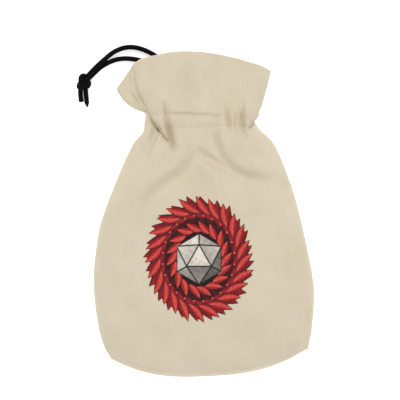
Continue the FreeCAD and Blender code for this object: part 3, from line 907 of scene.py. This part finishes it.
def stitch_row(front, upper, left):
    """Stitches that sit in the crease of one edge of the tunnel, on one half of a panel."""
    ends = station(TUNNEL_TOP if upper else TUNNEL_LOW)
    low, high = ends[0] + 3.0, ends[3] - 3.0
    middle = (low + 3.0 + high - 3.0) / 2
    runs = []
    x = low
    while x + STITCH < high:
        is_left = x + STITCH / 2 < middle
        if is_left == left:
            path = []
            for share in np.linspace(0, 1, 6):
                row = TUNNEL_LOW + (crease_top(x + STITCH * share) if upper else 0.0)
                point, normal = surface_place(front, x + STITCH * share, row)
                path.append(point + normal * (0.10 * math.sin(math.pi * share) - 0.06))
            runs.append(thread_run(path, THREAD_RADIUS))
        x += PITCH
    return runs


for front in (True, False):
    word = "front" if front else "back"
    for level in ("lower", "upper"):
        for left in (True, False):
            row = threads_object(f"{word}_{level}_tunnel_stitches_{side_of(left)}",
                                 stitch_row(front, level == "upper", left))
            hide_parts(f"{word}_tunnel_stitching_{level}")
            bend(row, left)

# the slit's edge is oversewn, like a buttonhole
oversewn = []
for k in range(64):
    t = 2 * math.pi * k / 64
    sx = SLIT_X + math.copysign(SLIT_HALF_X - SLIT_HALF_Y, math.cos(t)) + SLIT_HALF_Y * math.cos(t)
    sy = SLIT_Y + SLIT_HALF_Y * math.sin(t)
    out_x, out_y = math.cos(t), math.sin(t)
    path = []
    for share in np.linspace(-0.25, 1.0, 7):
        x, y = sx + out_x * share, sy + out_y * share
        v = float(np.interp(y, station(VROWS)[:, 2], VROWS))
        point, normal = surface_place(False, x, v)
        path.append(point + normal * (0.14 * math.sin(math.pi * (share + 0.25) / 1.25) + 0.02))
    oversewn.append(thread_run(path, 0.13))
binding = threads_object("slit_buttonhole_threads", oversewn)
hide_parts("slit_binding")
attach(binding, "bag")


def edge_rows(points, inward, wide):
    """A grid of points from a seam to a wavy free edge."""
    rows = []
    for share in np.linspace(0.0, 1.0, 7):
        row = points + inward * (share * wide)[:, None]
        row[:, 2] += 0.10 * share * np.sin(np.arange(len(points)) * 0.9)
        rows.append(row)
    return np.stack(rows, 1)


def seam_strip(name, edge, inward, wide, node, left):
    """A seam allowance: both panels' cut edges, laid together."""
    grid = edge_rows(edge, inward, wide)
    count = grid.shape[0] * grid.shape[1]
    flat = np.stack(np.meshgrid(np.arange(grid.shape[1]) * 0.8,
                                np.arange(grid.shape[0]) * 1.5), -1)
    cloth = np.concatenate([flat, np.full(flat.shape[:2] + (1,), SEAM_APART)], -1)
    points, faces, cloths, total = [], [], [], 0
    for layer in (0.42, -0.42):
        for rise, flip in ((0.36, False), (-0.36, True)):
            part = grid.copy()
            part[..., 2] += layer + rise
            points.append(part.reshape(-1, 3))
            faces += [tuple(f) for f in grid_faces(*grid.shape[:2], first=total, flip=flip)]
            cloths.append(cloth.reshape(-1, 3))
            total += count
        first = total - 2 * count
        faces += [(first + a, first + b, first + b + count, first + a + count)
                  for a, b in grid_rim(*grid.shape[:2])]
    strip = new_object(name, np.vstack(points), faces, SHADED_COTTON, cloth=np.vstack(cloths))
    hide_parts(node)
    bend(strip, left)


def side_edge(side, inset):
    """(points, inward directions, v) along a side seam, that far inside it. side is -1 or 1."""
    v = np.linspace(0.35, RIM - 0.15, 150)
    lx, ly, my, rx, ry, seam = np.moveaxis(station(v), -1, 0)[:6]
    x, y = (lx, ly) if side < 0 else (rx, ry)
    slope = (ry - ly) / 2 + bow_power(v) * side * ((ly + ry) / 2 - my)
    across = np.stack([(rx - lx) / 2, slope, 0 * v], 1)
    across *= -side / np.linalg.norm(across, axis=1)[:, None]
    return np.stack([x, y, seam], 1) + across * inset, across, v


def bottom_edge(left, inset):
    """The same along one half of the bottom seam, with the place across it last."""
    u = np.linspace(-0.97, 0.0, 60) if left else np.linspace(0.0, 0.97, 60)
    lx, ly, my, rx, ry, seam = station(np.array([0.0]))[0, :6]
    x = (lx + rx) / 2 + u * (rx - lx) / 2
    y = my + u * (ry - ly) / 2 + np.abs(u) ** bow_power(0.0) * ((ly + ry) / 2 - my)
    points = np.stack([x, y + inset, np.full_like(x, seam)], 1)
    return points, np.tile([0.0, 1.0, 0.0], (len(u), 1)), u


def oversewing(name, edge, inward, wide, node, left):
    """The seam's stitches: a straight row and loops over the allowance's free edge."""
    runs = []
    length = np.concatenate([[0], np.cumsum(np.linalg.norm(np.diff(edge, axis=0), axis=1))])

    def at(distance, share, rise):
        point = np.array([np.interp(distance, length, edge[:, k]) for k in range(3)])
        side = np.array([np.interp(distance, length, inward[:, k]) for k in range(3)])
        reach = np.interp(distance, length, wide)
        return point + side * reach * share + np.array([0, 0, rise])

    for start in np.arange(0.6, length[-1] - 3.2, 3.0):
        straight = [at(start + 2.0 * t, 0.18, 0.86 + 0.06 * math.sin(math.pi * t))
                    for t in np.linspace(0, 1, 5)]
        loop = [at(start + 1.5 + 1.2 * t, 0.62 + 0.5 * math.sin(math.pi * t),
                   0.92 * math.cos(math.pi * t)) for t in np.linspace(0.04, 0.96, 9)]
        runs += [thread_run(straight, THREAD_RADIUS), thread_run(loop, THREAD_RADIUS)]
    made = threads_object(name, runs)
    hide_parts(node)
    bend(made, left)


SEAM_INSET = 1.1
ALLOWANCE, NECK_ALLOWANCE = 4.6, 1.7    # widths of the seam allowance
for side, word, left in ((-1, "left", True), (1, "right", False)):
    edge, inward, v = side_edge(side, SEAM_INSET)
    wide = ALLOWANCE + (NECK_ALLOWANCE - ALLOWANCE) * smoothstep(5.0, 6.8, v)
    seam_strip(f"{word}_seam_allowance_cloth", edge, inward, wide, f"{word}_seam_allowance", left)
    oversewing(f"{word}_seam_threads", edge, inward, wide, f"{word}_seam_stitching", left)
    edge, inward, u = bottom_edge(left, SEAM_INSET)
    wide = np.full(len(u), ALLOWANCE)
    seam_strip(f"bottom_seam_allowance_{word}", edge, inward, wide, "bottom_seam_allowance", left)
    oversewing(f"bottom_seam_threads_{word}", edge, inward, wide, "bottom_seam_stitching", left)

TUNNEL_CORD = [
    (-4.6, 47.55, 4.3), (-14, 47.55, 4.5), (-21.0, 47.55, 5.2), (-24.2, 47.55, 6.9),
    (-24.2, 47.55, 9.0), (-20.6, 47.55, 10.9), (-14, 47.55, 11.9), (-4, 47.55, 12.5),
    (7, 47.55, 12.5), (14, 47.55, 11.9), (19.0, 47.55, 10.9), (22.5, 47.55, 9.0),
    (22.5, 47.55, 6.9), (19.4, 47.55, 5.2), (13, 47.55, 4.5), (5.3, 47.55, 4.3),
]
tunnel_line = nurbs_line("tunnel_route", TUNNEL_CORD)
on_front = tunnel_line[:, 2] > 10
middle_of_run = int(np.argmin(np.where(on_front, np.abs(tunnel_line[:, 0] + 0.7), 99)))
for left in (True, False):
    half = tunnel_line[:middle_of_run + 1] if left else tunnel_line[middle_of_run:]
    piece, _ = braid(f"tunnel_cord_{side_of(left)}", half)
    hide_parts("tunnel_cord")
    bend(piece, left)

# ---------------------------------------------------------------- printed emblem

PRINT_X, PRINT_Y = -2.2, -21.0
GROUND = (20.5, 24.5)       # half sizes of the dark oval behind the leaves
DIE = 12.6
DIE_CORE, DIE_LINE = 0.56, 0.30
PRINT_STEP = 0.22
BRIGHT, DEEP, DARK = (214, 62, 54), (138, 24, 32), (58, 14, 20)
GLEAM, MAROON, SHADOW = (243, 150, 128), (98, 32, 38), (30, 13, 16)
PALE, DIE_EDGE = (252, 205, 190), (34, 30, 30)
BERRIES, BERRY_RING, BERRY = 24, 0.86, 0.95


def blend_colour(under, over, share):
    """One colour laid over another, each the same all over or given at every point."""
    share = share[..., None]
    return np.asarray(under, float) * (1 - share) + np.asarray(over, float) * share


class Artwork:
    """Flat colour and outline of the print, worked out at a grid of points."""

    def __init__(self, x, y):
        self.x, self.y = x, y
        self.colour = np.zeros(x.shape + (3,))
        self.edge = np.full(x.shape, -99.0)

    def ground(self, half_x, half_y):
        """Dark oval with faint rays."""
        reach = np.hypot(self.x / half_x, self.y / half_y)
        turn = np.arctan2(self.y / half_y, self.x / half_x)
        rays = 0.5 + 0.5 * np.sin(turn * 22 + 2.5 * np.sin(reach * 4))
        shade = np.clip((reach - 0.45) / 0.5, 0, 1)
        tone = blend_colour(SHADOW, MAROON, shade * (0.55 + 0.45 * rays))
        inside = reach < 1
        self.colour[inside] = tone[inside]
        self.edge = np.maximum(self.edge, (1 - reach) * min(half_x, half_y))

    def leaf(self, base_x, base_y, turn, length, wide, bow, tones):
        """A pointed leaf with a midrib, side veins and a dark edge."""
        dx, dy = self.x - base_x, self.y - base_y
        along = dx * math.cos(turn) + dy * math.sin(turn)
        bowed = bow * along * (length - along) / length
        across = -dx * math.sin(turn) + dy * math.cos(turn) - bowed
        q = np.clip(along / length, 0, 1)
        half = wide * np.sin(math.pi * q ** 0.75) ** 0.85
        distance = np.where((along > 0) & (along < length), half - np.abs(across),
                            -np.maximum(-along, along - length) - np.abs(across))
        inside = distance > 0
        share = np.abs(across) / np.maximum(half, 0.05)
        light, deep, dark, gleam = tones
        lit = np.clip(1.15 - share - 0.35 * (across < 0) + 0.25 * q, 0, 1)
        tone = blend_colour(deep, light, lit)
        vein = np.clip(np.sin(along * 2.6 - np.abs(across) * 2.4) - 0.55, 0, 1) * 0.8
        tone = blend_colour(tone, deep, vein)
        midrib = np.clip(1 - np.abs(across) / 0.26, 0, 1) * 0.75 * (1 - 0.5 * q)
        tone = blend_colour(tone, gleam, midrib)
        sheen = np.exp(-((share - 0.45) / 0.16) ** 2) * (across > 0) * 0.30
        tone = blend_colour(tone, gleam, sheen)
        tone = blend_colour(tone, dark, np.clip(1 - distance / 0.34, 0, 1) * 0.85)
        self.colour[inside] = tone[inside]
        self.edge = np.maximum(self.edge, distance)

    def berry(self, at_x, at_y, radius):
        reach = np.hypot(self.x - at_x, self.y - at_y)
        from_light = np.hypot(self.x - at_x + 0.35 * radius, self.y - at_y - 0.4 * radius)
        lit = np.clip(1 - from_light / radius, 0, 1)
        tone = blend_colour(DEEP, BRIGHT, lit ** 0.6)
        tone = blend_colour(tone, PALE, np.clip(lit * 2.2 - 1.3, 0, 1))
        tone = blend_colour(tone, DARK, np.clip((reach / radius - 0.78) / 0.2, 0, 1))
        inside = reach < radius
        self.colour[inside] = tone[inside]

    def facet(self, corners, tone):
        """One face of the die, lighter towards its first corner, with a dark line round it."""
        p = np.asarray(corners)
        (ax, ay), (bx, by) = p[1] - p[0], p[2] - p[0]
        p = p if ax * by > bx * ay else p[[0, 2, 1]]
        distance = np.full(self.x.shape, 99.0)
        for a, b in zip(p, np.roll(p, -1, axis=0)):
            edge = b - a
            distance = np.minimum(distance, (edge[0] * (self.y - a[1]) - edge[1] * (self.x - a[0]))
                                  / np.linalg.norm(edge))
        inside = distance > 0
        near = np.exp(-np.hypot(self.x - corners[0][0], self.y - corners[0][1]) / DIE)
        grain = (5 * np.sin(self.x * 1.7 + 2 * np.sin(self.y * 1.1))
                 + 4 * np.sin(self.y * 2.3 + self.x))
        value = tone * (0.80 + 0.34 * near) + grain
        colour = np.stack([value, value * 0.965, value * 0.91], -1)
        colour = blend_colour(colour, DIE_EDGE, np.clip(1.5 - distance / DIE_LINE, 0, 1))
        self.colour[inside] = np.clip(colour, 0, 250)[inside]
        self.edge = np.maximum(self.edge, distance)


def draw_emblem(x, y):
    """A wreath of leaves and berries round a twenty-sided die."""
    art = Artwork(x, y)
    art.ground(*GROUND)
    draw = np.random.default_rng(21)

    def ring(count, radius, length, wide, lean, tones, offset):
        for k in range(count):
            turn = 2 * math.pi * (k + offset) / count
            bx, by = GROUND[0] * radius * math.cos(turn), GROUND[1] * radius * math.sin(turn)
            outward = math.atan2(math.sin(turn) / GROUND[1], math.cos(turn) / GROUND[0])
            art.leaf(bx, by, outward + math.radians(lean + draw.uniform(-4, 4)),
                     length * draw.uniform(0.95, 1.05), wide, 0.16, tones)

    ring(24, 0.83, 13.4, 2.5, 50, (DEEP, MAROON, SHADOW, BRIGHT), 0.5)
    ring(24, 0.93, 11.6, 2.0, 58, (BRIGHT, DEEP, DARK, GLEAM), 0.0)
    ring(18, 0.56, 8.4, 1.9, 66, (BRIGHT, DEEP, SHADOW, GLEAM), 0.25)
    for k in range(BERRIES):
        turn = 2 * math.pi * (k + 0.5) / BERRIES
        art.berry(GROUND[0] * BERRY_RING * math.cos(turn), GROUND[1] * BERRY_RING * math.sin(turn),
                  BERRY)

    rim = [(DIE * math.sin(math.pi * k / 3), DIE * math.cos(math.pi * k / 3)) for k in range(6)]
    inner = DIE * DIE_CORE
    core = [(inner * math.sin(2 * math.pi * k / 3), inner * math.cos(2 * math.pi * k / 3))
            for k in range(3)]
    art.facet(core, 232)
    for k, tone in enumerate((188, 132, 206)):
        art.facet((rim[2 * k + 1], core[k], core[(k + 1) % 3]), tone)
    for k, (before, after) in enumerate(((218, 170), (112, 92), (148, 196))):
        art.facet((core[k], rim[2 * k], rim[(2 * k - 1) % 6]), before)
        art.facet((core[k], rim[2 * k], rim[2 * k + 1]), after)
    return art


def onto_front():
    """A function that drops points at x, y onto the front panel: place, normal and cloth place."""
    grid, cloth = PANELS[True]["outer"], PANELS[True]["cloth"]
    rows, columns = grid.shape[:2]
    points, cloths = grid.reshape(-1, 3), cloth.reshape(-1, 3)
    quads = grid_faces(rows, columns)
    tree = BVHTree.FromPolygons(points.tolist(), quads.tolist())
    normals = PANELS[True]["normal"].reshape(-1, 3)

    def drop(x, y):
        place, _, face, _ = tree.ray_cast(Vector((x, y, 60.0)), Vector((0, 0, -1)))
        corner = quads[face][0]
        shift = np.array([x, y]) - points[corner, :2]
        spot = cloths[corner].copy()
        spot[:2] += shift
        return np.array(place), normals[corner], spot
    return drop


def linear(colours):
    c = np.clip(colours / 255.0, 0, 1)
    return np.where(c <= 0.04045, c / 12.92, ((c + 0.055) / 1.055) ** 2.4)


def make_print():
    """The emblem as a thin film of ink over the front panel, in two halves."""
    xs = np.arange(-29.0, 29.0, PRINT_STEP)
    ys = np.arange(-33.5, 33.5, PRINT_STEP)
    x, y = np.meshgrid(xs, ys)
    edge = draw_emblem(x, y).edge
    columns = len(xs)
    # points just outside the outline are drawn in onto it
    moved_x, moved_y = x.copy(), y.copy()
    inside = edge > 0
    used = np.zeros_like(inside)
    best = np.zeros_like(edge)
    for di, dj in ((0, 1), (0, -1), (1, 0), (-1, 0), (1, 1), (1, -1), (-1, 1), (-1, -1)):
        near = np.roll(edge, (-di, -dj), (0, 1))
        closer = ~inside & (near > 0) & (near > best) & (~used | (abs(di) + abs(dj) == 1))
        share = near / (near - edge + 1e-9)
        step_x, step_y = np.roll(x, (-di, -dj), (0, 1)), np.roll(y, (-di, -dj), (0, 1))
        moved_x[closer] = (step_x + (x - step_x) * share)[closer]
        moved_y[closer] = (step_y + (y - step_y) * share)[closer]
        best[closer] = near[closer]
        used |= closer
    keep = inside | used
    quads = grid_faces(len(ys), columns)
    whole = keep.ravel()[quads].all(axis=1) & inside.ravel()[quads].any(axis=1)
    quads = quads[whole]
    art = draw_emblem(moved_x, moved_y)
    drop = onto_front()
    flat_x, flat_y = moved_x.ravel() + PRINT_X, moved_y.ravel() + PRINT_Y
    places, cloths = np.zeros((x.size, 3)), np.zeros((x.size, 3))
    for k in np.unique(quads):
        place, normal, spot = drop(flat_x[k], flat_y[k])
        places[k], cloths[k] = place + normal * 0.07, spot
    colours = np.ones((x.size, 4))
    colours[:, :3] = linear(art.colour.reshape(-1, 3))
    centre = flat_x[quads].mean(axis=1)
    for left in (True, False):
        chosen = quads[(centre < -0.5) == left]
        numbers, faces = np.unique(chosen, return_inverse=True)
        film = new_object(f"emblem_print_{side_of(left)}", places[numbers],
                          faces.reshape(-1, 4), INK, cloth=cloths[numbers])
        layer = film.data.color_attributes.new("ink", "FLOAT_COLOR", "POINT")
        layer.data.foreach_set("color", colours[numbers].astype(np.float32).ravel())
        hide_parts("printed_emblem")
        bend(film, left)


make_print()

# ---------------------------------------------------------------- floor

FLOOR_HALF, FLOOR_Z = 20000, -0.1
corners = [(x * FLOOR_HALF, y * FLOOR_HALF, FLOOR_Z)
           for x, y in ((-1, -1), (1, -1), (1, 1), (-1, 1))]
floor = new_object("floor", corners, [(0, 1, 2, 3)], FLOOR)
